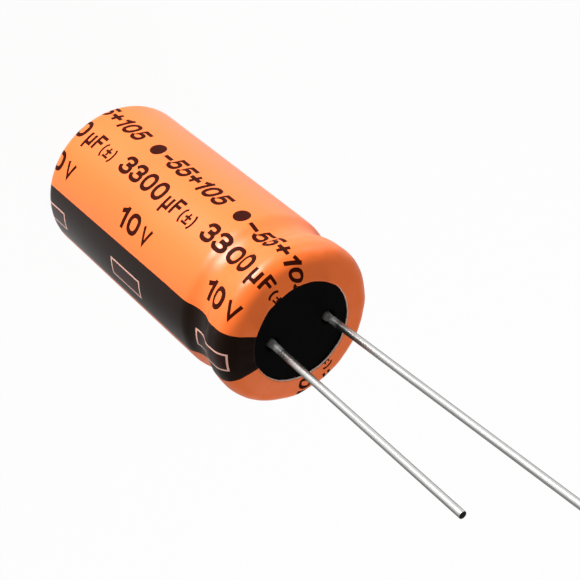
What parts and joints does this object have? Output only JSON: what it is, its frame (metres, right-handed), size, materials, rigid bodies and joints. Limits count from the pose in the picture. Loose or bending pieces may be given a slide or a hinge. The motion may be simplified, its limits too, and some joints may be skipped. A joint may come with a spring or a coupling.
{
  "type": "electrolytic capacitor",
  "caption": "Radial-lead aluminium electrolytic capacitor: sleeved round can with a beaded rim, rubber bung and two wire leads of unequal length.",
  "frame": {"origin": "middle of the foot ring, on the surface that the closed end stands on", "axes": "+Z along the can's axis from the closed end to the leads, +X from the negative lead to the positive lead"},
  "size_m": [0.0134, 0.0134, 0.054],
  "materials": {
    "sleeve": "printed heat-shrink film, gloss",
    "can": "drawn, satin",
    "bung": "moulded, matt",
    "leads": "tinned, bright",
    "tabs": "plain",
    "anode_foil": "etched, matt",
    "cathode_foil": "etched, matt",
    "separators": "paper wetted with electrolyte",
    "closing_tape": "thin film tape"
  },
  "bodies": {
    "root": {"sleeve": "sleeve", "can": "can", "bung": "bung", "lead_negative": "leads", "lead_positive": "leads", "tab_negative": "tabs", "tab_positive": "tabs", "anode_foil": "anode_foil", "cathode_foil": "cathode_foil", "separator_inner": "separators", "separator_outer": "separators", "closing_tape": "closing_tape"}
  },
  "joints": []
}
